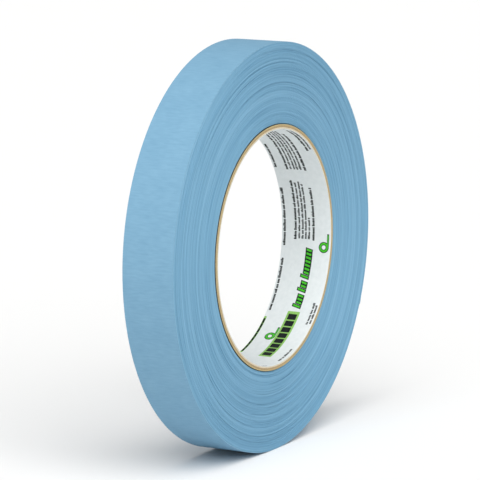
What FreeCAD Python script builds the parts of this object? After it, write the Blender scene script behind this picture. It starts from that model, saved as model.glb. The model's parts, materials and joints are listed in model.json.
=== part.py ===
"""A roll of paper masking tape standing on its rim, with its loose end stuck down.

Frame: the origin is the centre of the core's bore, the roll's axis is Y and +Z is up. Lengths are
in millimetres. Angles are in degrees in the XZ plane, from +X towards +Z.

The core is a tube of three kraft plies and a white liner, each one a strip wound on a helix, so that
each has a slanting butt seam. The tape is one long strip. Its first laps are one solid, wound_tape,
and its last lap is split into paper backing and adhesive. The tape's loose end is a row of short
lengths, which hinge on each other so that the end can be peeled back.
"""
import FreeCAD
import Part
import math
import os

from FreeCAD import Vector

# Tape
TAPE_WIDTH = 17.8
TAPE_THICK = 0.16
ADHESIVE_THICK = 0.035
LAPS = 165

# Core
BORE_R = 38.1
CORE_PROUD = 0.2
LINER_THICK = 0.12
PLY_THICK = 0.48
SEAM_SLANT = 31.5
KRAFT_SEAM_GAP = 0.3
LINER_SEAM_GAP = 0.15

# Loose end: its tip, and the lengths that it bends in
TIP_ANGLE = -25.0
END_LENGTHS = 6
END_LENGTH_ANGLE = 7.0
END_GAP = 0.06
TACK_CLEARANCE = 0.02

# Kraft plies from the bore outwards, each with the angle of its seam at mid width
PLIES = (("core_ply_inner", 215.0), ("core_ply_middle", 120.0), ("core_ply_outer", 300.0))
LINER_SEAM_ANGLE = 175.0

# Where the winding stepped sideways: from this lap on, the laps lie shifted along Y by this much
SIDE_SHIFTS = (
    (0, 0.07),
    (5, 0.02),
    (20, -0.01),
    (41, 0.05),
    (47, 0.01),
    (68, 0.06),
    (72, -0.02),
    (79, 0.04),
    (83, -0.03),
    (98, 0.0),
    (112, 0.05),
    (116, -0.02),
    (124, 0.02),
    (132, -0.03),
    (143, 0.04),
    (152, -0.01),
)

CORE_LENGTH = TAPE_WIDTH + 2 * CORE_PROUD
CORE_R = BORE_R + LINER_THICK + len(PLIES) * PLY_THICK
ROOT_ANGLE = TIP_ANGLE + END_LENGTHS * END_LENGTH_ANGLE

# Each lap is two half circles about centres a quarter thickness either side of the axis, so its
# radius grows by one thickness in a turn and steps down by one at the tip.
UNDER_TIP_R = CORE_R + (LAPS - 1) * TAPE_THICK
TIP_DIRECTION = Vector(math.cos(math.radians(TIP_ANGLE)), 0, math.sin(math.radians(TIP_ANGLE)))
TIP_HALF_CENTRE = TIP_DIRECTION * (TAPE_THICK / 4)
FAR_HALF_CENTRE = TIP_DIRECTION * (-TAPE_THICK / 4)


def at(radius, angle, y, centre=Vector(0, 0, 0)):
    """The point at this radius and angle about a centre in the XZ plane."""
    a = math.radians(angle)
    return centre + Vector(radius * math.cos(a), y, radius * math.sin(a))


def arc(radius, start, end, y, centre=Vector(0, 0, 0)):
    middle = (start + end) / 2
    points = [at(radius, angle, y, centre) for angle in (start, middle, end)]
    return Part.Arc(*points).toShape()


def ring(inner, outer, length):
    """A plain tube about the Y axis."""
    start, along = Vector(0, -length / 2, 0), Vector(0, 1, 0)
    whole = Part.makeCylinder(outer, length, start, along)
    return whole.cut(Part.makeCylinder(inner, length, start, along))


def spiral_edges(rise, y, end_angle=TIP_ANGLE + 360, start_angle=TIP_ANGLE):
    """The outline of the wound laps, raised by rise, from start_angle to end_angle."""
    half_turn = TIP_ANGLE + 180
    near_r = UNDER_TIP_R + rise
    far_r = near_r - TAPE_THICK / 2
    return [
        arc(near_r, start_angle, half_turn, y, TIP_HALF_CENTRE),
        arc(far_r, half_turn, end_angle, y, FAR_HALF_CENTRE),
    ]


def ends_of(edges):
    """The first and last point of a run of arcs that follow each other."""
    return edges[0].firstVertex(True).Point, edges[-1].lastVertex(True).Point


def strip_between(low, high, y, width):
    """The solid of a strip between two runs of arcs, low and high, across the width."""
    low_start, low_end = ends_of(low)
    high_start, high_end = ends_of(high)
    ends = [Part.makeLine(low_start, high_start), Part.makeLine(low_end, high_end)]
    outline = Part.Wire(Part.__sortEdges__(low + high + ends))
    return Part.Face(outline).extrude(Vector(0, width, 0))


def seam_cutter(inner, outer, angle, gap):
    """A thin slanting wall through a ply: the gap where the strip's edges meet, wound on a helix."""
    reach = 0.1
    height = CORE_LENGTH + 2
    pitch = 2 * math.pi * outer * math.tan(math.radians(SEAM_SLANT))
    edges = [
        Part.makeHelix(pitch, height, radius).Edges[0] for radius in (inner - reach, outer + reach)
    ]
    wall = Part.makeRuledSurface(*edges).extrude(
        Vector(0, 0, gap / math.cos(math.radians(SEAM_SLANT)))
    )
    wall.translate(Vector(0, 0, -height / 2))
    wall.rotate(Vector(0, 0, 0), Vector(1, 0, 0), -90)
    turn_at_middle = 360 * (height / 2) / pitch
    wall.rotate(Vector(0, 0, 0), Vector(0, 1, 0), turn_at_middle - angle)
    return wall


def core_ply(inner, thick, angle, gap):
    """One ply of the core: a tube slit by its own butt seam."""
    outer = inner + thick
    return ring(inner, outer, CORE_LENGTH).cut(seam_cutter(inner, outer, angle, gap))


def wound_tape():
    """All the laps but the last: stepped sides, and an outer face that spirals down at the tip."""
    half = TAPE_WIDTH / 2
    reach = UNDER_TIP_R + 1
    radii = [CORE_R + lap * TAPE_THICK for lap, _ in SIDE_SHIFTS] + [reach]
    front, back = [], []
    for (_, shift), start, end in zip(SIDE_SHIFTS, radii, radii[1:]):
        front += [Vector(start, -half + shift, 0), Vector(end, -half + shift, 0)]
        back += [Vector(start, half + shift, 0), Vector(end, half + shift, 0)]
    outline = front + back[::-1]
    section = Part.Face(Part.makePolygon(outline + outline[:1]))
    stepped = section.revolve(Vector(0, 0, 0), Vector(0, 1, 0), 360)

    y = -CORE_LENGTH
    edges = spiral_edges(0, y)
    start, end = ends_of(edges)
    outside = Part.Wire(Part.__sortEdges__(edges + [Part.makeLine(end, start)]))
    return stepped.common(Part.Face(outside).extrude(Vector(0, 2 * CORE_LENGTH, 0)))


def last_lap(low, high):
    """The stuck length of the last lap, between two heights above the laps under it."""
    y = -TAPE_WIDTH / 2
    start = ROOT_ANGLE + math.degrees(END_GAP / 2 / UNDER_TIP_R)
    runs = [spiral_edges(rise, y, start_angle=start) for rise in (low, high)]
    return strip_between(*runs, y, TAPE_WIDTH)


def end_length(number, low, high):
    """One short length of the loose end. Number 1 is at the root, and the last has the tip."""
    y = -TAPE_WIDTH / 2
    gap = math.degrees(END_GAP / 2 / UNDER_TIP_R)
    end = ROOT_ANGLE - (number - 1) * END_LENGTH_ANGLE - gap
    start = ROOT_ANGLE - number * END_LENGTH_ANGLE + (gap if number < END_LENGTHS else 0)
    runs = [
        [arc(UNDER_TIP_R + rise, start, end, y, TIP_HALF_CENTRE)] for rise in (low, high)
    ]
    return strip_between(*runs, y, TAPE_WIDTH)


def build():
    parts = {}
    parts["core_liner"] = core_ply(BORE_R, LINER_THICK, LINER_SEAM_ANGLE, LINER_SEAM_GAP)
    inner = BORE_R + LINER_THICK
    for name, seam_angle in PLIES:
        parts[name] = core_ply(inner, PLY_THICK, seam_angle, KRAFT_SEAM_GAP)
        inner += PLY_THICK

    parts["wound_tape"] = wound_tape()
    parts["last_lap_adhesive"] = last_lap(0, ADHESIVE_THICK)
    parts["last_lap_backing"] = last_lap(ADHESIVE_THICK, TAPE_THICK)
    glue_top = TACK_CLEARANCE + ADHESIVE_THICK
    for number in range(1, END_LENGTHS + 1):
        parts[f"loose_end_adhesive_{number}"] = end_length(number, TACK_CLEARANCE, glue_top)
        parts[f"loose_end_backing_{number}"] = end_length(number, glue_top, TAPE_THICK)
    return parts


def report_joints():
    """Where each hinge of the loose end lies: on the tape's outer face, in the gap."""
    for number in range(1, END_LENGTHS + 1):
        angle = ROOT_ANGLE - (number - 1) * END_LENGTH_ANGLE
        hinge = at(UNDER_TIP_R + TAPE_THICK, angle, 0, TIP_HALF_CENTRE)
        print(f"hinge {number}: x {hinge.x:.4f} z {hinge.z:.4f} mm")


def main():
    os.makedirs("parts", exist_ok=True)
    for name, shape in build().items():
        solids = shape.Solids
        size = shape.BoundBox
        print(
            f"{name}: {len(solids)} solid, valid {shape.isValid()}, {shape.Volume:.1f} mm3, "
            f"{size.XLength:.2f} x {size.YLength:.2f} x {size.ZLength:.2f} mm"
        )
        solid = solids[0] if len(solids) == 1 else Part.makeCompound(solids)
        solid.exportStep(f"parts/{name}.step")
    report_joints()


main()
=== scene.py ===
# %% [markdown]
# # A roll of paper masking tape
#
# The roll is one long strip of crepe paper, wound 165 times round a paperboard core. This lesson
# builds it in the order that a converter makes it: the core's plies, the printed liner, the wound
# laps, and last the loose end, which peels. The designed parts come in from CAD as a fixed frame,
# and every piece made here takes its size and place from them.

import bmesh
import bpy
import json
import math
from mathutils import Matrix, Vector, noise


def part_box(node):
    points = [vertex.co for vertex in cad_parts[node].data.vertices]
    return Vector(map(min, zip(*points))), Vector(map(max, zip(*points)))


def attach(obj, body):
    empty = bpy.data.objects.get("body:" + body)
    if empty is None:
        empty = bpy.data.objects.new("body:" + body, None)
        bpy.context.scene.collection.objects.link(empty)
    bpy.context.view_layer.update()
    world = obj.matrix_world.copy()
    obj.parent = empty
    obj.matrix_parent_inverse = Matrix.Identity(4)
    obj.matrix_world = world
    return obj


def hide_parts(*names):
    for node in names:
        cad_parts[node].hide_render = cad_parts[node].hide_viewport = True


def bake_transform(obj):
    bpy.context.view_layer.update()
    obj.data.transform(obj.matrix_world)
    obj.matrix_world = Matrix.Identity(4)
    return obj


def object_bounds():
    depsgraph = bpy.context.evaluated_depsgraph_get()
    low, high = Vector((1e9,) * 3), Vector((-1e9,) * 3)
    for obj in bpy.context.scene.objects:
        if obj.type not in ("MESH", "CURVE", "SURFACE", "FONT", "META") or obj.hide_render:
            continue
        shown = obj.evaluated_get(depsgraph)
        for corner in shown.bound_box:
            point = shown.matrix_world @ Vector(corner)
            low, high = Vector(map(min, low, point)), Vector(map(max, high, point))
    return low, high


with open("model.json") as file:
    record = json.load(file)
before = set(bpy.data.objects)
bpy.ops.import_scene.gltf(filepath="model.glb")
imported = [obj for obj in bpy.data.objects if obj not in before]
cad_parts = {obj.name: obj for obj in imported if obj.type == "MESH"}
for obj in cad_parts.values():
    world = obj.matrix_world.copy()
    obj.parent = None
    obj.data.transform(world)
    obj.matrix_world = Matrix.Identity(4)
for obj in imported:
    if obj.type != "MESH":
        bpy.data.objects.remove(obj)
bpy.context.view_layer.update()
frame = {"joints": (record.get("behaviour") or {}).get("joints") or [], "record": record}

# %% [markdown]
# ## Sizes from the frame
#
# Nothing here is measured by eye. The bore comes from the mount that holds the roll, and the other
# radii and widths from the boxes of the CAD nodes. Only the thickness of the strip's two layers is
# written down, because a box can't show it.

# %% Read the sizes
MM = 0.001


def named(rows, name):
    return next(row for row in rows if row["name"] == name)


def outer_radius(node):
    """How far a round node reaches from the roll's axis, to a hundredth of a millimetre."""
    low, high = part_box(node)
    return round(max(high.x, high.z, -low.x, -low.z), 5)


BORE_R = named(frame["record"]["mounts"], "core_bore")["dims"]["r_mm"] * MM
LINER_R = outer_radius("core_liner")
CORE_R = outer_radius("core_ply_outer")
CORE_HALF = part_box("core_liner")[1].y
TAPE_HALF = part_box("last_lap_backing")[1].y

LAP = 0.16 * MM
GLUE = 0.035 * MM
LAPS = round((outer_radius("last_lap_backing") - CORE_R) / LAP)
WOUND_LAPS = LAPS - 1
print(f"core from {BORE_R / MM:.2f} to {CORE_R / MM:.2f} mm, then {LAPS} laps")

# %% [markdown]
# Angles run round the roll's axis from +X towards +Z. The hinges of the loose end give the angle of
# its root and the step between hinges, and one step past the last hinge is the strip's cut tip.

# %% Read the hinges
hinges = [Vector(joint["pos_m"]) for joint in frame["joints"]]
hinge_angles = [math.atan2(hinge.z, hinge.x) for hinge in hinges]
HINGE_STEP = hinge_angles[0] - hinge_angles[1]
ROOT = hinge_angles[0]
TIP = hinge_angles[-1] - HINGE_STEP
loose_bodies = [joint["child"] for joint in frame["joints"]]
print(f"loose end from {math.degrees(ROOT):.1f} to {math.degrees(TIP):.1f} degrees")

# %% [markdown]
# ## Helpers
#
# A material is a small net of nodes. One helper adds a node and fills its sockets, by a value or by
# a link, so that each finish below reads like a recipe. The others blend two colours, turn a
# closed shell's faces outwards, and turn a finished bmesh into an object.

# %% Define the helpers
SHARP = math.radians(50)


def add_node(tree, kind, inputs=None, **settings):
    """Add a shader node. An input is given as a value, or as another node's output to link."""
    node = tree.nodes.new("ShaderNode" + kind)
    for name, value in settings.items():
        setattr(node, name, value)
    for name, value in (inputs or {}).items():
        if isinstance(value, bpy.types.NodeSocket):
            tree.links.new(value, node.inputs[name])
        else:
            node.inputs[name].default_value = value
    return node


def new_material(name, **sockets):
    """A material with one Principled shader, its fixed numbers set on the shader's own sockets."""
    material = bpy.data.materials.new(name)
    material.use_nodes = True
    shader = material.node_tree.nodes["Principled BSDF"]
    for socket, value in sockets.items():
        shader.inputs[socket.replace("_", " ")].default_value = value
    return material, material.node_tree, shader


def blend_colours(tree, share, first, second):
    """Colour that goes from the first to the second as share goes from 0 to 1."""
    ramp = add_node(tree, "ValToRGB", {"Fac": share})
    ramp.color_ramp.elements[0].color = (*first, 1)
    ramp.color_ramp.elements[1].color = (*second, 1)
    return ramp


def face_outwards(bm):
    """Turn all the faces of one closed shell outwards. A negative volume tells that they face in."""
    bmesh.ops.recalc_face_normals(bm, faces=bm.faces[:])
    if bm.calc_volume(signed=True) < 0:
        bmesh.ops.reverse_faces(bm, faces=bm.faces[:])


def make_object(name, bm, *materials):
    """Turn a bmesh into a smooth-shaded object whose folds sharper than SHARP stay crisp."""
    for face in bm.faces:
        face.smooth = True
    for edge in bm.edges:
        edge.smooth = edge.calc_face_angle(0) < SHARP
    mesh = bpy.data.meshes.new(name)
    bm.to_mesh(mesh)
    bm.free()
    for material in materials:
        mesh.materials.append(material)
    piece = bpy.data.objects.new(name, mesh)
    bpy.context.scene.collection.objects.link(piece)
    return piece


# %% [markdown]
# ## Crepe paper
#
# The backing is paper that was crinkled wet on a blade, saturated with latex and tinted light blue.
# The crinkles run across the strip, a few tenths of a millimetre apart, and each dies out after a
# few millimetres. A wave texture would be too regular, so noise is stretched six times across the
# strip. The same noise sets the tone and the relief, and a broad, weak cloud keeps the tone from
# looking even. The strip's own map carries the pattern, because the loose end bends and the
# crinkles have to go with it. The map counts metres along and across.

# %% Make the crepe paper
CREPE_DEEP = (0.161, 0.323, 0.464)
CREPE_LIGHT = (0.209, 0.388, 0.535)


def crepe_paper(name, coordinates):
    """Blue crepe. coordinates(tree) gives a vector whose Y runs across the strip."""
    material, tree, shader = new_material(name, Roughness=0.68, Specular_IOR_Level=0.12)
    squash = add_node(tree, "Mapping", {"Vector": coordinates(tree), "Scale": (1, 0.16, 1)})
    crinkle = add_node(tree, "TexNoise", {"Vector": squash.outputs[0], "Scale": 1700.0, "Detail": 3.0})
    fibre = add_node(tree, "TexNoise", {"Vector": coordinates(tree), "Scale": 2600.0, "Detail": 2.0})
    cloud = add_node(tree, "TexNoise", {"Vector": coordinates(tree), "Scale": 130.0, "Detail": 4.0})
    relief = add_node(
        tree, "Math", {0: fibre.outputs["Fac"], 1: 0.35, 2: crinkle.outputs["Fac"]}, operation="MULTIPLY_ADD"
    )
    tone = add_node(
        tree, "Math", {0: cloud.outputs["Fac"], 1: 0.6, 2: crinkle.outputs["Fac"]}, operation="MULTIPLY_ADD"
    )
    spread = add_node(tree, "MapRange", {"Value": tone.outputs[0], "From Min": 0.45, "From Max": 1.15})
    colour = blend_colours(tree, spread.outputs[0], CREPE_DEEP, CREPE_LIGHT)
    tree.links.new(colour.outputs["Color"], shader.inputs["Base Color"])
    bump = add_node(tree, "Bump", {"Height": relief.outputs[0], "Strength": 0.6, "Distance": 0.04 * MM})
    tree.links.new(bump.outputs["Normal"], shader.inputs["Normal"])
    return material


def strip_map(tree):
    return add_node(tree, "UVMap", uv_map="strip").outputs[0]


def object_place(tree):
    return add_node(tree, "TexCoord").outputs["Object"]


crepe = crepe_paper("blue_crepe", strip_map)
crepe_on_roll = crepe_paper("blue_crepe_on_roll", object_place)
print("made", crepe.name, "and", crepe_on_roll.name)

# %% [markdown]
# ## The edges of the laps
#
# From the side, the roll shows the slit edges of its laps, not the paper's face. They are duller and
# a little darker, and the colour changes from lap to lap in fine rings, because each was slit and
# pressed a little differently. So the pattern follows the distance from the axis. Two noises read
# that distance, one fine and one broad, and both change slowly with direction, so that a ring
# fades in and out as it goes round. Wherever the broad one passes its middle value, a thin dark
# line of painted shade is drawn, for the shade beside a lap that stands back.


# %% Make the slit edges
SLIT_DEEP = (0.131, 0.300, 0.446)
SLIT_LIGHT = (0.222, 0.428, 0.590)


def ring_noise(tree, place, per_metre, drift):
    """Noise in rings about the Y axis: quick along the radius, slow round the roll."""
    split = add_node(tree, "SeparateXYZ", {"Vector": place})
    flat = add_node(tree, "CombineXYZ", {"X": split.outputs["X"], "Z": split.outputs["Z"]})
    radius = add_node(tree, "VectorMath", {0: flat.outputs[0]}, operation="LENGTH")
    way = add_node(tree, "VectorMath", {0: flat.outputs[0]}, operation="NORMALIZE")
    slow = add_node(tree, "VectorMath", {0: way.outputs[0], 3: drift}, operation="SCALE")
    quick = add_node(tree, "Math", {0: radius.outputs["Value"], 1: per_metre}, operation="MULTIPLY")
    across = add_node(tree, "CombineXYZ", {"Y": quick.outputs[0]})
    reading = add_node(tree, "VectorMath", {0: across.outputs[0], 1: slow.outputs[0]}, operation="ADD")
    return add_node(tree, "TexNoise", {"Vector": reading.outputs[0], "Scale": 1.0, "Detail": 2.0})


def slit_edges():
    material, tree, shader = new_material("crepe_slit_edges", Roughness=0.75, Specular_IOR_Level=0.15)
    place = object_place(tree)
    fine = ring_noise(tree, place, 2600.0, 0.9)
    broad = ring_noise(tree, place, 820.0, 0.5)
    # Painted shade: a thin dark line where the broad noise passes its middle, for the shade beside a lap
    # that stands back
    off_middle = add_node(tree, "Math", {0: broad.outputs["Fac"], 1: 0.5}, operation="SUBTRACT")
    contour = add_node(tree, "Math", {0: off_middle.outputs[0]}, operation="ABSOLUTE")
    painted_lap_shade = add_node(
        tree, "MapRange", {"Value": contour.outputs[0], "From Max": 0.03, "To Min": -0.27, "To Max": 0.0}
    )
    fuzz = add_node(tree, "TexNoise", {"Vector": place, "Scale": 5200.0, "Detail": 2.0})
    mixed = add_node(
        tree, "Math", {0: broad.outputs["Fac"], 1: 0.7, 2: fine.outputs["Fac"]}, operation="MULTIPLY_ADD"
    )
    tone = add_node(tree, "Math", {0: mixed.outputs[0], 1: painted_lap_shade.outputs[0]}, operation="ADD")
    spread = add_node(tree, "MapRange", {"Value": tone.outputs[0], "From Min": 0.5, "From Max": 1.12})
    colour = blend_colours(tree, spread.outputs[0], SLIT_DEEP, SLIT_LIGHT)
    tree.links.new(colour.outputs["Color"], shader.inputs["Base Color"])
    bump = add_node(tree, "Bump", {"Height": fuzz.outputs["Fac"], "Strength": 0.25, "Distance": 0.02 * MM})
    tree.links.new(bump.outputs["Normal"], shader.inputs["Normal"])
    return material


slit_paper = slit_edges()
print("made", slit_paper.name)

# %% [markdown]
# ## Adhesive, board, liner paper and inks
#
# The adhesive is a thin clear rubber film over blue paper, so it takes the paper's colour and adds
# a shine that comes and goes where it was pulled off the lap under it. The core's plies are kraft
# board in three tones with fine fibres, which lie round the core more than along it. The liner is
# smooth white paper, hardly mottled. The inks are flat, with a trace of the paper's grain. One
# recipe serves for all of them, with different colours, grain and relief.


# %% Make the adhesive, board, liner and inks
def grained(name, dark, light, per_metre, depth, stretch=(1, 1, 1), **sockets):
    """A finish with one grain: it sets the colour between two tones and the relief by the same noise."""
    material, tree, shader = new_material(name, **sockets)
    place = add_node(tree, "Mapping", {"Vector": object_place(tree), "Scale": stretch})
    grain = add_node(tree, "TexNoise", {"Vector": place.outputs[0], "Scale": per_metre, "Detail": 5.0})
    spread = add_node(tree, "MapRange", {"Value": grain.outputs["Fac"], "From Min": 0.32, "From Max": 0.68})
    colour = blend_colours(tree, spread.outputs[0], dark, light)
    tree.links.new(colour.outputs["Color"], shader.inputs["Base Color"])
    bump = add_node(tree, "Bump", {"Height": grain.outputs["Fac"], "Strength": 0.5, "Distance": depth})
    tree.links.new(bump.outputs["Normal"], shader.inputs["Normal"])
    return material


adhesive = grained(
    "rubber_adhesive", (0.20, 0.38, 0.50), (0.27, 0.46, 0.57),
    per_metre=900.0, depth=0.02 * MM, Roughness=0.28, Coat_Weight=0.3,
)
BOARD = {"per_metre": 3000.0, "depth": 0.03 * MM, "stretch": (1, 0.35, 1), "Roughness": 0.85}
pale_board = grained("pale_board", (0.58, 0.51, 0.365), (0.67, 0.60, 0.45), **BOARD)
brown_board = grained("brown_board", (0.355, 0.25, 0.127), (0.45, 0.32, 0.168), **BOARD)
golden_board = grained("golden_board", (0.41, 0.325, 0.16), (0.50, 0.405, 0.21), **BOARD)
# Painted shade: a near black board for the core's outer wall, standing for the shadow in the narrow gap
# where the core stands out from the tape
painted_gap_shade = grained("painted_gap_shade", (0.045, 0.045, 0.034), (0.075, 0.072, 0.052), **BOARD)
liner_paper = grained(
    "white_liner_paper", (0.655, 0.70, 0.71), (0.705, 0.745, 0.755),
    per_metre=700.0, depth=0.006 * MM, Roughness=0.5,
)
INK_GRAIN = {"per_metre": 2500.0, "depth": 0.004 * MM}
GREEN_INK = {"Roughness": 0.5, "Specular_IOR_Level": 0.2, **INK_GRAIN}
dark_ink = grained(
    "dark_ink", (0.006, 0.009, 0.009), (0.016, 0.021, 0.02),
    Roughness=0.6, Specular_IOR_Level=0.12, **INK_GRAIN,
)
label_green = grained("label_green_ink", (0.21, 0.44, 0.10), (0.28, 0.53, 0.14), **GREEN_INK)
bright_green = grained("bright_green_ink", (0.04, 0.40, 0.015), (0.07, 0.50, 0.03), **GREEN_INK)
boards = (pale_board, brown_board, golden_board, painted_gap_shade)
inks = (dark_ink, label_green, bright_green)
print("made", ", ".join(finish.name for finish in (adhesive, *boards, liner_paper, *inks)))

# %% [markdown]
# ## The core
#
# A paperboard core is wound from strips of board on a mandrel, each on a slant, so every ply has a
# seam that runs round and along it like a stripe on a barber's pole. It could be a plain tube with
# a painted line. A real gap is better, because it shows on the cut ends too. The section of the
# wall is spun almost the whole way round, which leaves a straight gap, and then each ring of
# vertices is turned in proportion to its place along the core, which slants the gap. The cut ends
# get a small bevel and a slight unevenness, as a knife leaves them.
#
# Each ply has its own tone of board, so that the core's cut end shows its layers. Its outer wall is
# painted near black. This is painted shade for the narrow gap where the core stands out from the
# tape, and it shows as a thin dark outline there. The liner needs many rows along the core: its flat
# facets have to follow the bore closely enough that the thin print never sinks into them.

# %% Build the plies and the liner
SEAM_SLANT = math.radians(31.5)
ROUND_CORE = 240
PLY_GAP = 0.012 * MM

# The knife's cut: how many bumps it leaves to a radian round the core and to a metre through its
# wall, and the part of the core's half length that it moves
CUT_BUMPS, CUT_BUMPS_THROUGH = 9, 2000
CUT_FROM, CUT_REACH = 0.95, 0.05

# Each ply with the angle of its seam and its board
PLIES = (("inner", 215, pale_board), ("middle", 120, brown_board), ("outer", 300, golden_board))


def wall_section(bm, inner, outer, rows):
    """A rectangle in the XY plane, which is the wall's section, cut into rows along the core."""
    bmesh.ops.create_grid(bm, x_segments=1, y_segments=rows, size=0.5)
    bmesh.ops.scale(bm, vec=(outer - inner, 2 * CORE_HALF, 1), verts=bm.verts[:])
    bmesh.ops.translate(bm, vec=((outer + inner) / 2, 0, 0), verts=bm.verts[:])


def slit_tube(name, inner, outer, rows, seam, gap, bevel, uneven, materials):
    """A tube slit by a slanting seam, at the angle seam half way along.

    Its outer wall takes the last material, and everything else the first.
    """
    bm = bmesh.new()
    wall_section(bm, inner, outer, rows)
    opening = gap / math.sin(SEAM_SLANT) / outer
    bmesh.ops.spin(
        bm, geom=bm.faces[:] + bm.edges[:] + bm.verts[:], cent=(0, 0, 0), axis=(0, -1, 0),
        angle=2 * math.pi - opening, steps=ROUND_CORE,
    )
    rims = [
        edge for edge in bm.edges
        if all(abs(abs(vert.co.y) - CORE_HALF) < 1e-7 for vert in edge.verts)
        and len({round(math.hypot(vert.co.x, vert.co.z), 6) for vert in edge.verts}) == 1
    ]
    bmesh.ops.bevel(
        bm, geom=rims, offset=bevel, segments=2, profile=0.5, affect="EDGES", material=-1, clamp_overlap=True
    )
    for vert in bm.verts:
        angle = math.atan2(vert.co.z, vert.co.x) + seam + opening / 2
        radius = math.hypot(vert.co.x, vert.co.z)
        angle -= vert.co.y / (outer * math.tan(SEAM_SLANT))
        across, up = CUT_BUMPS * math.cos(angle), CUT_BUMPS * math.sin(angle)
        wobble = noise.noise(Vector((across, up, radius * CUT_BUMPS_THROUGH)))
        end_share = max(0.0, abs(vert.co.y) / CORE_HALF - CUT_FROM) / CUT_REACH
        y = vert.co.y - math.copysign(uneven * end_share * (1 + wobble) / 2, vert.co.y)
        vert.co = (radius * math.cos(angle), y, radius * math.sin(angle))
    bmesh.ops.triangulate(bm, faces=bm.faces[:], quad_method="SHORT_EDGE")
    face_outwards(bm)
    # The outer wall takes the last material, which on the plies is the painted shade for the gap beside the
    # tape
    for face in bm.faces:
        centre = face.calc_center_median()
        away = Vector((centre.x, 0, centre.z))
        faces_straight_out = face.normal.dot(away.normalized()) > 0.98
        if faces_straight_out and away.length > outer - 0.02 * MM:
            face.material_index = len(materials) - 1
    piece = make_object(name, bm, *materials)
    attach(piece, "roll")
    return piece


def make_core():
    inner = LINER_R
    for ply, seam, board in PLIES:
        node = f"core_ply_{ply}"
        outer = outer_radius(node)
        tube = slit_tube(
            f"kraft_ply_{ply}", inner + PLY_GAP, outer, rows=18, seam=math.radians(seam),
            gap=0.3 * MM, bevel=0.07 * MM, uneven=0.05 * MM, materials=(board, painted_gap_shade),
        )
        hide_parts(node)
        print(f"{tube.name}: {inner / MM:.2f} to {outer / MM:.2f} mm")
        inner = outer
    liner = slit_tube(
        "white_liner", BORE_R, LINER_R, rows=48, seam=math.radians(175),
        gap=0.15 * MM, bevel=0.03 * MM, uneven=0.03 * MM, materials=(liner_paper,),
    )
    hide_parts("core_liner")
    print(f"{liner.name}: {BORE_R / MM:.2f} to {LINER_R / MM:.2f} mm")


make_core()

# %% [markdown]
# ## How the strip drifts as it is wound
#
# The strip never lands exactly on the lap before. It wanders a few hundredths of a millimetre to
# one side, and here and there a few laps stand out over part of a turn and then sink back. Those
# short arcs are what the eye reads as a wound roll. The drift is a function of one number: how many
# turns of strip lie before this point. That is true to how the roll is made, and it makes the laps
# join up by themselves, because the end of one turn is the start of the next. The steps are those
# of the CAD roll, and the last laps run straight, because the last lap lies straight in CAD too.

# %% Define the drift
TURN_STEPS = 192
STEP_TURNS = 0.4
ARC_SLOPE = 1.6
STRAIGHT_LAPS = 3

# Two wanders, each as millimetres, waves to a turn, and where in the noise it is read
SLOW_WANDER = (0.035, 0.21, 3.7)
QUICK_WANDER = (0.034, 1.7, 8.1)

# From this lap on, the winding lies this many millimetres towards the back
SIDE_STEPS = (
    (0, 0.07), (5, 0.02), (20, -0.01), (41, 0.05), (47, 0.01), (68, 0.06), (72, -0.02), (79, 0.04),
    (83, -0.03), (98, 0.0), (112, 0.05), (116, -0.02), (124, 0.02), (132, -0.03), (143, 0.04), (152, -0.01),
)
# Laps that stand out over part of a turn: first lap, how many, from and to which angle, millimetres
STRAY_ARCS = (
    (20, 1, 60, 140, 0.13), (33, 1, 170, 250, 0.12), (41, 2, 80, 130, -0.12), (47, 1, 240, 305, 0.14),
    (58, 1, 95, 165, 0.13), (67, 1, 230, 285, 0.20), (74, 1, 20, 75, 0.14), (83, 1, 48, 130, 0.20),
    (92, 2, 200, 262, -0.12), (104, 1, 300, 352, 0.15), (112, 1, 96, 156, 0.20), (115, 1, 152, 198, -0.13),
    (112, 1, 216, 262, 0.18), (110, 1, 6, 40, 0.15), (124, 1, 60, 160, 0.17), (131, 1, 200, 330, 0.20),
    (136, 2, 105, 190, -0.11), (143, 1, 222, 358, 0.20), (148, 1, 40, 112, 0.19), (151, 2, 230, 360, -0.12),
    (155, 1, 130, 215, 0.17), (158, 1, 300, 420, 0.15), (14, 1, 250, 330, 0.11), (27, 1, 262, 300, 0.14),
    (52, 1, 255, 320, 0.17), (62, 2, 262, 300, -0.13), (71, 2, 240, 300, -0.12), (79, 1, 268, 322, 0.15),
    (88, 1, 245, 285, 0.16), (96, 1, 285, 340, 0.13), (99, 1, 190, 235, 0.15), (107, 1, 250, 296, 0.16),
    (119, 1, 276, 322, 0.15), (128, 1, 0, 60, 0.13), (139, 1, 250, 285, 0.14), (37, 1, 0, 50, 0.12),
    (90, 1, 120, 175, 0.14), (101, 1, 60, 100, -0.12), (120, 1, 170, 215, 0.14), (145, 2, 128, 172, -0.12),
    (75, 1, 258, 296, 0.15), (85, 1, 262, 310, -0.13), (92, 1, 275, 318, 0.15), (103, 1, 248, 290, 0.14),
    (116, 1, 252, 284, -0.13), (123, 1, 262, 330, 0.16), (135, 1, 268, 312, 0.15), (9, 1, 200, 290, 0.12),
)


def ease(share):
    """A smooth step from 0 to 1, flat at both ends."""
    share = min(max(share, 0.0), 1.0)
    return share * share * (3 - 2 * share)


def turns_at(lap, degrees):
    """How many turns of strip lie before a lap at an angle. The strip winds outwards as angles fall."""
    return lap + 1 - ((math.radians(degrees) - TIP) / (2 * math.pi)) % 1


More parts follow.
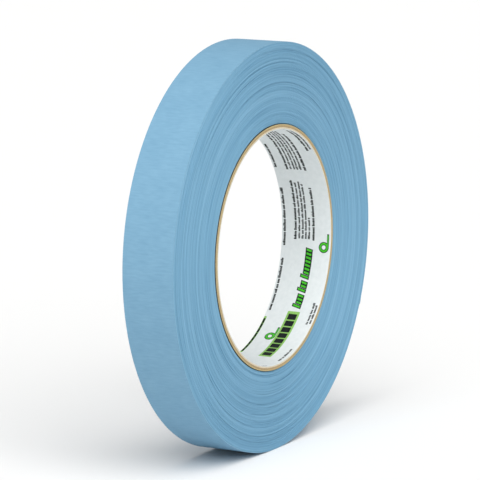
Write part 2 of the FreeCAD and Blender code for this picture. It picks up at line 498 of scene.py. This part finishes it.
def drift_at(turns):
    """How far the strip lies towards the back, in metres, after this many turns."""
    drift = SIDE_STEPS[0][1]
    for (_, before), (lap, after) in zip(SIDE_STEPS, SIDE_STEPS[1:]):
        drift += (after - before) * ease((turns - lap) / STEP_TURNS)
    for far, waves, place in (SLOW_WANDER, QUICK_WANDER):
        drift += far * noise.noise(Vector((turns * waves, place, 0)))
    for first, count, start, end, rise in STRAY_ARCS:
        middle = turns_at(first, (start + end) / 2)
        half = (end - start) / 720
        nearest = min(abs(turns - middle - lap) for lap in range(count))
        drift += rise * ease(ARC_SLOPE * (1 - nearest / half))
    return drift * MM * ease((WOUND_LAPS - turns) / STRAIGHT_LAPS)


drift = [drift_at(step / TURN_STEPS) for step in range((WOUND_LAPS + 2) * TURN_STEPS + 1)]
print(f"drift from {min(drift) / MM:.2f} to {max(drift) / MM:.2f} mm over {WOUND_LAPS} laps")

# %% [markdown]
# ## The wound laps
#
# The roll's side is 164 slit edges, each with a fine groove beside it. A bump map could draw them,
# but the drift makes real ledges that catch the light, so they are modelled. The section starts as
# a rectangle whose two sides are subdivided, three points to a lap. One full spin makes the roll
# and leaves its first and last sections unjoined. Then every vertex is moved: outwards by one
# thickness a turn, which makes the rings one spiral, and sideways by the drift. After that the last
# section of each lap meets the first section of the next, and merging them closes the spiral. The
# two small holes left are the strip's own cut ends. The roll is made in two bands of laps to keep
# each mesh a sensible size.
#
# The first lap or two of a roll are wound slack and lie a little inside the others, which
# leaves the narrow dark line beside the core. A groove lies under the lower of the two laps that it
# parts, so the place of both edges is asked for.

# %% Wind the laps
GROOVE = 0.04 * MM
TUCK = 0.6 * MM
SLACK_LAPS = 1.5
SLACK_FADE = 0.6
CREST_SHARES = (0.0, 0.16, 0.84)


def spiral_radius(lap, turned):
    """The radius of a point so many laps out, at a share of a turn past the tip."""
    return CORE_R + LAP * max(lap + 0.25 - turned, 0.25 * lap)


def lap_drift(lap, turned):
    """The strip's drift at a point so many laps out, at a share of a turn past the tip."""
    return drift[max(round((lap + 1 - turned) * TURN_STEPS), 0)]


def edge_at(side, lap, turned):
    """Where an edge of the strip lies across the roll: side is 1 at the back and -1 at the front."""
    tuck = TUCK * (1 - ease((lap + 1 - turned - SLACK_LAPS) / SLACK_FADE))
    return side * (TAPE_HALF - tuck) + lap_drift(lap, turned)


def shape_lap_point(vert, turned):
    """Move a point of the plain spun rings to its place in the wound spiral."""
    thirds = round((math.hypot(vert.co.x, vert.co.z) - CORE_R) / LAP * 3)
    lap, part = divmod(thirds, 3)
    side = math.copysign(1, vert.co.y)
    if part:
        y = edge_at(side, lap, turned)
    else:
        beside = [edge_at(side, near, turned) for near in (lap - 1, lap)]
        y = side * (min(side * edge for edge in beside) - GROOVE)
    radius = spiral_radius(lap + CREST_SHARES[part], turned)
    angle = TIP + 2 * math.pi * turned
    vert.co = (radius * math.cos(angle), y, radius * math.sin(angle))


def lap_section(bm, first, last):
    """The outline of a band of laps in the XY plane, with three points to a lap on both sides."""
    bmesh.ops.create_grid(bm, x_segments=1, y_segments=1, size=0.5)
    bmesh.ops.delete(bm, geom=bm.faces[:], context="FACES_ONLY")
    bmesh.ops.scale(bm, vec=((last - first) * LAP, 2 * TAPE_HALF, 1), verts=bm.verts[:])
    bmesh.ops.translate(bm, vec=(CORE_R + (first + last) / 2 * LAP, 0, 0), verts=bm.verts[:])
    sides = [edge for edge in bm.edges if abs(edge.verts[0].co.y - edge.verts[1].co.y) < 1e-9]
    bmesh.ops.subdivide_edges(bm, edges=sides, cuts=3 * (last - first) - 1)


def wind_laps(name, first, last):
    """One band of laps, with slit edges on its sides and crepe on its round faces."""
    bm = bmesh.new()
    lap_section(bm, first, last)
    start = set(bm.verts)
    made = bmesh.ops.spin(
        bm, geom=bm.verts[:] + bm.edges[:], cent=(0, 0, 0), axis=(0, -1, 0), angle=2 * math.pi,
        steps=TURN_STEPS,
    )
    end = {item for item in made["geom_last"] if isinstance(item, bmesh.types.BMVert)}
    for vert in bm.verts:
        turned = (math.atan2(vert.co.z, vert.co.x) / (2 * math.pi)) % 1
        turned = round(turned * TURN_STEPS) / TURN_STEPS
        shape_lap_point(vert, 0.0 if vert in start else 1.0 if vert in end else turned)
    bmesh.ops.remove_doubles(bm, verts=list(start | end), dist=0.001 * MM)
    bmesh.ops.holes_fill(bm, edges=[edge for edge in bm.edges if edge.is_boundary], sides=0)
    for face in bm.faces:
        face.material_index = int(abs(face.calc_center_median().y) < TAPE_HALF / 2)
    face_outwards(bm)
    piece = make_object(name, bm, slit_paper, crepe_on_roll)
    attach(piece, "roll")
    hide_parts("wound_tape")
    print(f"{name}: laps {first} to {last}, {len(piece.data.vertices)} vertices")
    return piece


half_way = WOUND_LAPS // 2
wind_laps("wound_laps_inner", 0, half_way)
wind_laps("wound_laps_outer", half_way, WOUND_LAPS)

# %% [markdown]
# ## The last lap and the loose end
#
# The outermost lap is the face that people see, so its crinkles are modelled as well as shaded. Each
# length of strip starts as a flat grid, extruded once for its thickness, and is then bent onto the
# spiral with the top raised by the crinkles. The stuck part rides on the roll. The loose end is cut
# at its six CAD bodies. Each of its hinges gets one length of its own, from the middle of one rigid
# length to the middle of the next, which stays where it is made, and the tip rides on the last body.
# At the root the bend begins at the hinge itself, so that no paper turns down into the roll. The cut
# tip never lies quite flat: over its last few millimetres it lifts off by a little more than its own
# thickness.

# %% Build the strip
CRINKLE = 0.018 * MM
CRINKLE_LENGTH = 0.6 * MM
CRINKLE_STRETCH = 7
STRIP_STEP = 0.3 * MM
TIP_LIFT = 0.24 * MM
TIP_LIFT_LENGTH = 3.0 * MM
WOUND_R = outer_radius("wound_tape")


def crinkle_at(along, across):
    """The height of the crepe's face, from metres along and across the strip."""
    point = Vector((along / CRINKLE_LENGTH, across / CRINKLE_LENGTH / CRINKLE_STRETCH, 0.5))
    return CRINKLE * (noise.noise(point) + 0.6 * noise.noise(point * 2.3))


def strip_length(name, start, end, low, high, step, across_count, crinkled, material, slot):
    """A length of strip on the wound laps, from one angle to a larger one and between two heights."""
    bm = bmesh.new()
    along_count = math.ceil((end - start) * WOUND_R / step)
    bmesh.ops.create_grid(bm, x_segments=along_count, y_segments=across_count, size=0.5)
    made = bmesh.ops.extrude_face_region(bm, geom=bm.faces[:])
    raised = [item for item in made["geom"] if isinstance(item, bmesh.types.BMVert)]
    bmesh.ops.translate(bm, vec=(0, 0, 1), verts=raised)
    measured = bm.verts.layers.float_vector.new("measured")
    for vert in bm.verts:
        on_top = vert.co.z > 0.5
        angle = start + (vert.co.x + 0.5) * (end - start)
        along, across = angle * WOUND_R, vert.co.y * 2 * TAPE_HALF
        turned = (angle - TIP) / (2 * math.pi)
        radius = spiral_radius(WOUND_LAPS, turned) + (high if on_top else low)
        radius += TIP_LIFT * (1 - ease((angle - TIP) * WOUND_R / TIP_LIFT_LENGTH))
        if on_top and crinkled:
            radius += crinkle_at(along, across)
        vert[measured] = (along, across, 0)
        vert.co = (radius * math.cos(angle), across, radius * math.sin(angle))
    strip_uv = bm.loops.layers.uv.new("strip")
    for face in bm.faces:
        for loop in face.loops:
            loop[strip_uv].uv = loop.vert[measured].xy
    bm.verts.layers.float_vector.remove(measured)
    face_outwards(bm)
    piece = make_object(name, bm, material)
    return piece


def strip_layer(layer, low, high, across_count, crinkled, material, slot):
    """One layer of the last lap and the loose end: paper or adhesive."""
    finish = (low, high, STRIP_STEP, across_count, crinkled, material, slot)
    stuck = strip_length(f"last_lap_{layer}_strip", ROOT, TIP + 2 * math.pi, *finish)
    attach(stuck, "roll")
    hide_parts(f"last_lap_{layer}")
    half = HINGE_STEP / 2
    before = "roll"
    for number, (hinge, body) in enumerate(zip(hinge_angles, loose_bodies), 1):
        end = hinge if number == 1 else hinge + half
        bend = strip_length(f"loose_end_{layer}_bend_{number}", hinge - half, end, *finish)
        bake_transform(bend)
        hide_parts(f"loose_end_{layer}_{number}")
        before = body
    tip = strip_length(f"loose_end_{layer}_tip", TIP, hinge_angles[-1] - half, *finish)
    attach(tip, before)
    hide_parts(f"loose_end_{layer}_{len(hinges)}")
    print(f"{layer}: {len(hinges) + 2} lengths, {low / MM:.3f} to {high / MM:.3f} mm above the lap below")


strip_layer("backing", GLUE, LAP, 24, True, crepe, "crepe_paper")
strip_layer("adhesive", 0.0, GLUE, 12, False, adhesive, "tape_adhesive")

# %% [markdown]
# ## The print on the liner
#
# The liner carries a maker's print: paragraphs of small text, a green label, a slogan and a small
# picture. A reusable part has none of the maker's words, so every letter here is a plain block, the
# label holds plain bars, and the picture is a roll of tape seen from the side. The print could be a
# pattern in the liner's material. It is made of very thin solids instead, like real ink on paper,
# because their edges stay crisp at any distance. They are drawn flat, with X along the print and Y
# up from the front edge, and then bent into the bore.

# %% Prepare to print
INK = 0.012 * MM
COPY_TURN = 180
PRINT_STRIP = 1.0 * MM


def along_at(degrees):
    """How far along the print an angle of the bore lies."""
    return math.radians(degrees) * BORE_R


def add_block(bm, x, y, width, height, layer=1, lean=0.0, rounding=0.0):
    """A flat block of ink, its middle at x and y. Layers are printed over each other."""
    made = bmesh.ops.create_cube(bm, size=1)["verts"]
    bmesh.ops.scale(bm, vec=(width, height, INK * (layer + 1)), verts=made)
    for vert in made:
        vert.co.x += lean * vert.co.y
    bmesh.ops.translate(bm, vec=(x, y, INK * (layer - 1) / 2), verts=made)
    if rounding:
        corners = [
            edge for edge in {edge for vert in made for edge in vert.link_edges}
            if abs(edge.verts[0].co.z - edge.verts[1].co.z) > INK / 2
        ]
        bmesh.ops.bevel(
            bm, geom=corners, offset=rounding, segments=4, profile=0.5, affect="EDGES", material=-1
        )


def add_disc(bm, x, y, radius, layer):
    """A flat round of ink."""
    made = bmesh.ops.create_cone(
        bm, cap_ends=True, segments=32, radius1=radius, radius2=radius, depth=INK * (layer + 1)
    )["verts"]
    bmesh.ops.translate(bm, vec=(x, y, INK * (layer - 1) / 2), verts=made)


def print_in_bore(name, bm, material):
    """Cut the flat drawing into narrow strips, bend it into the bore and let it ride on the roll."""
    places = [vert.co.x for vert in bm.verts]
    for number in range(math.ceil(min(places) / PRINT_STRIP), math.ceil(max(places) / PRINT_STRIP)):
        everything = bm.verts[:] + bm.edges[:] + bm.faces[:]
        bmesh.ops.bisect_plane(
            bm, geom=everything, dist=1e-8, plane_co=(number * PRINT_STRIP, 0, 0), plane_no=(1, 0, 0)
        )
    for vert in bm.verts:
        angle = vert.co.x / BORE_R
        radius = BORE_R - vert.co.z
        vert.co = (radius * math.cos(angle), vert.co.y - CORE_HALF, radius * math.sin(angle))
    piece = make_object(name, bm, material)
    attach(piece, "roll")
    print(f"{name}: {len(piece.data.polygons)} faces")
    return piece


# %% [markdown]
# Small print reads as text when its rhythm is right: words of uneven length, letters of two heights,
# and lines that end at different places. A seeded random generator gives the same words each time.
# Each row of TEXT_LINES is a line: its first and last angle, its height above the front edge in
# millimetres, and whether it is bold. The whole design is printed twice round the bore.

# %% Print the small text
import random

TEXT_LINES = (
    (354.5, 386.0, 13.2, True), (355.0, 385.0, 11.8, False), (355.0, 386.0, 10.5, False),
    (355.0, 384.0, 9.35, False), (355.0, 366.0, 8.1, False), (354.5, 382.0, 6.5, True),
    (392.5, 429.5, 13.2, True), (392.8, 429.5, 11.8, False), (392.8, 430.0, 10.5, False),
    (392.8, 429.0, 9.35, False), (392.8, 429.5, 8.1, False), (392.5, 425.0, 6.5, True),
    (316.4, 344.9, 17.35, True), (351.0, 381.6, 17.3, True), (393.4, 411.4, 17.3, True),
    (276.6, 291.0, 1.62, False), (309.9, 323.0, 1.90, False), (310.5, 322.0, 0.85, False),
    (407.4, 433.5, 2.35, True), (409.0, 433.5, 0.95, False), (259.0, 264.0, 1.3, False),
)
# A letter's width, the space after it, and a tall letter's height
BOLD_PRINT = (0.46 * MM, 0.06 * MM, 0.98 * MM)
PLAIN_PRINT = (0.38 * MM, 0.07 * MM, 0.79 * MM)
LETTER_HEIGHTS = (0.74, 0.74, 0.8, 1.0)


def print_line(bm, start, end, up, bold, dice):
    """A line of words in plain blocks, between two places along the print."""
    letter, space, tall = BOLD_PRINT if bold else PLAIN_PRINT
    place = start
    while place < end:
        for _ in range(dice.randint(3, 9)):
            height = tall * dice.choice(LETTER_HEIGHTS)
            width = letter * dice.uniform(0.75, 1.1)
            if place + width > end:
                return
            add_block(bm, place + width / 2, up + (height - tall) / 2, width, height)
            place += width + space
        place += 3 * space + 0.1 * MM


def print_text():
    """All the small text, in one piece."""
    bm = bmesh.new()
    dice = random.Random(11)
    for turn in (0, COPY_TURN):
        for start, end, up, bold in TEXT_LINES:
            print_line(bm, along_at(start + turn), along_at(end + turn), up * MM, bold, dice)
    return print_in_bore("liner_print_text", bm, dark_ink)


print_text()

# %% [markdown]
# The larger marks are overprinted in layers: a light green label with dark bars, a line of leaning
# green strokes on a dark backing, and the picture of a roll. The design also repeats in rows along
# the liner, so a second label is cut off by the core's back edge.

# %% Print the label, the strokes and the picture
# Labels: first and last angle, height above the front edge and size in millimetres, and the share
# of their room that the dark bars fill along and across
MAIN_LABEL = (280.6, 316.9, 8.15, 4.5, (0.82, 0.70))
BACK_LABEL = (282.7, 312.5, 17.65, 0.92, (0.93, 0.80))
LABEL_BARS = 8
LABEL_MARGIN = 0.8 * MM

# Leaning strokes: how many in each word, and the lean, size and height of a word's first stroke and
# of the others
STROKE_ANGLES = (319.2, 350.4)
STROKE_WORDS = (4, 3, 8)
WORD_SPACE = 0.7
LEAN = 0.25
FIRST_STROKE = (2.7 * MM, 8.05 * MM)
OTHER_STROKE = (1.9 * MM, 7.65 * MM)

# Pictures of a roll: the angle and height of each
PICTURES = ((299.5, 12.35), (351.5, 2.4))


def print_label(label, marks, start, end, up, tall, fill, turn):
    """A label with a row of dark bars."""
    left, right = along_at(start + turn), along_at(end + turn)
    add_block(label, (left + right) / 2, up * MM, right - left, tall * MM, 1, rounding=0.25 * MM)
    pitch = (right - left - 2 * LABEL_MARGIN) / LABEL_BARS
    for number in range(LABEL_BARS):
        x = left + LABEL_MARGIN + (number + 0.5) * pitch
        add_block(marks, x, up * MM, pitch * fill[0], tall * fill[1] * MM, 2, rounding=0.12 * MM)


def print_strokes(backing, strokes, turn):
    """Leaning strokes in three words, each with a dark edge round it."""
    place, end = (along_at(degrees + turn) for degrees in STROKE_ANGLES)
    pitch = (end - place) / (sum(STROKE_WORDS) + WORD_SPACE * (len(STROKE_WORDS) - 1))
    for count in STROKE_WORDS:
        for number in range(count):
            x = place + (number + 0.5) * pitch
            tall, up = OTHER_STROKE if number else FIRST_STROKE
            add_block(backing, x, up, pitch * 1.02, tall + 0.75 * MM, 1, LEAN)
            add_block(strokes, x, up, pitch * 0.56, tall, 3, LEAN, 0.2 * MM)
        place += (count + WORD_SPACE) * pitch


def print_roll_picture(backing, strokes, paper, degrees, up, turn):
    """A roll of tape from the side: rings for the roll, and its free end as a bar below."""
    x, y = along_at(degrees + turn), up * MM
    add_block(backing, x + 2.2 * MM, y - 1.45 * MM, 4.6 * MM, 0.75 * MM, 1, rounding=0.1 * MM)
    add_block(strokes, x + 2.1 * MM, y - 1.45 * MM, 4.2 * MM, 0.42 * MM, 3, rounding=0.1 * MM)
    add_disc(backing, x, y, 1.85 * MM, 1)
    add_disc(strokes, x, y, 1.6 * MM, 3)
    add_disc(backing, x, y, 0.95 * MM, 4)
    add_disc(paper, x, y, 0.72 * MM, 5)


def print_marks():
    """All the larger marks, in one piece for each ink."""
    label, marks, strokes, paper = (bmesh.new() for _ in range(4))
    for turn in (0, COPY_TURN):
        print_label(label, marks, *MAIN_LABEL, turn)
        print_label(label, marks, *BACK_LABEL, turn)
        print_strokes(marks, strokes, turn)
        for degrees, up in PICTURES:
            print_roll_picture(marks, strokes, paper, degrees, up, turn)
    print_in_bore("liner_print_label", label, label_green)
    print_in_bore("liner_print_marks", marks, dark_ink)
    print_in_bore("liner_print_strokes", strokes, bright_green)
    print_in_bore("liner_print_paper", paper, liner_paper)


print_marks()

# %% [markdown]
# ## The stage
#
# A near white floor under the roll, soft daylight from all round, and one broad light from above,
# a little to the left and in front. The floor and the light are balanced so that the floor just
# reaches white, because anything brighter would only wash out the roll's lower half. The daylight
# is stronger near the horizon, so that a low view has a pale backdrop too.

# %% Set the stage
FLOOR_HALF = 20
FLOOR_GAP = 0.02 * MM


def add_floor():
    """A flat floor just under the roll."""
    low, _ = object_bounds()
    bm = bmesh.new()
    bmesh.ops.create_grid(bm, x_segments=8, y_segments=8, size=FLOOR_HALF)
    bmesh.ops.translate(bm, vec=(0, 0, low.z - FLOOR_GAP), verts=bm.verts[:])
    material, _, shader = new_material("floor", Roughness=0.95)
    shader.inputs["Base Color"].default_value = (0.86, 0.86, 0.86, 1)
    shader.inputs["Specular IOR Level"].default_value = 0.1
    floor = make_object("floor", bm, material)
    print(f"floor at {low.z / MM:.2f} mm")


def add_light():
    """Daylight that grows stronger towards the horizon, and one broad light from above."""
    world = bpy.data.worlds.new("soft_daylight")
    world.use_nodes = True
    background = world.node_tree.nodes["Background"]
    background.inputs["Color"].default_value = (0.94, 0.975, 1.0, 1)
    direction = add_node(world.node_tree, "TexCoord").outputs["Generated"]
    height = add_node(world.node_tree, "SeparateXYZ", {"Vector": direction}).outputs["Z"]
    glow = add_node(
        world.node_tree, "MapRange",
        {"Value": height, "From Min": 0.03, "From Max": 0.25, "To Min": 1.05, "To Max": 0.32},
    )
    world.node_tree.links.new(glow.outputs[0], background.inputs["Strength"])
    bpy.context.scene.world = world

    sun = bpy.data.lights.new("top_light", "SUN")
    sun.energy = 3.4
    sun.color = (1.0, 0.985, 0.965)
    sun.angle = math.radians(65)
    lamp = bpy.data.objects.new("top_light", sun)
    lamp.rotation_euler = Vector((-0.46, -0.38, 0.80)).to_track_quat("Z", "Y").to_euler()
    bpy.context.scene.collection.objects.link(lamp)


add_floor()
add_light()
bpy.context.scene.view_settings.view_transform = "Standard"

# %% [markdown]
# The camera stands a metre off with a long lens, so the roll is hardly tapered by perspective. It
# looks a little down, at the tread on one side and the laps on the other.

# %% Place the camera
AZIMUTH, ELEVATION = math.radians(-61.2), math.radians(9.4)
DISTANCE = 1.080
SIDE_STEP, UP_STEP = -3.64 * MM, 1.8 * MM

back = Vector((
    math.sin(AZIMUTH) * math.cos(ELEVATION),
    -math.cos(AZIMUTH) * math.cos(ELEVATION),
    math.sin(ELEVATION),
))
aim = (-back).to_track_quat("-Z", "Y")
camera_data = bpy.data.cameras.new("camera")
camera_data.lens = 252
camera_data.sensor_width = 36
camera = bpy.data.objects.new("camera", camera_data)
camera.location = back * DISTANCE + aim @ Vector((SIDE_STEP, UP_STEP, 0))
camera.rotation_euler = aim.to_euler()
bpy.context.scene.collection.objects.link(camera)
bpy.context.scene.camera = camera
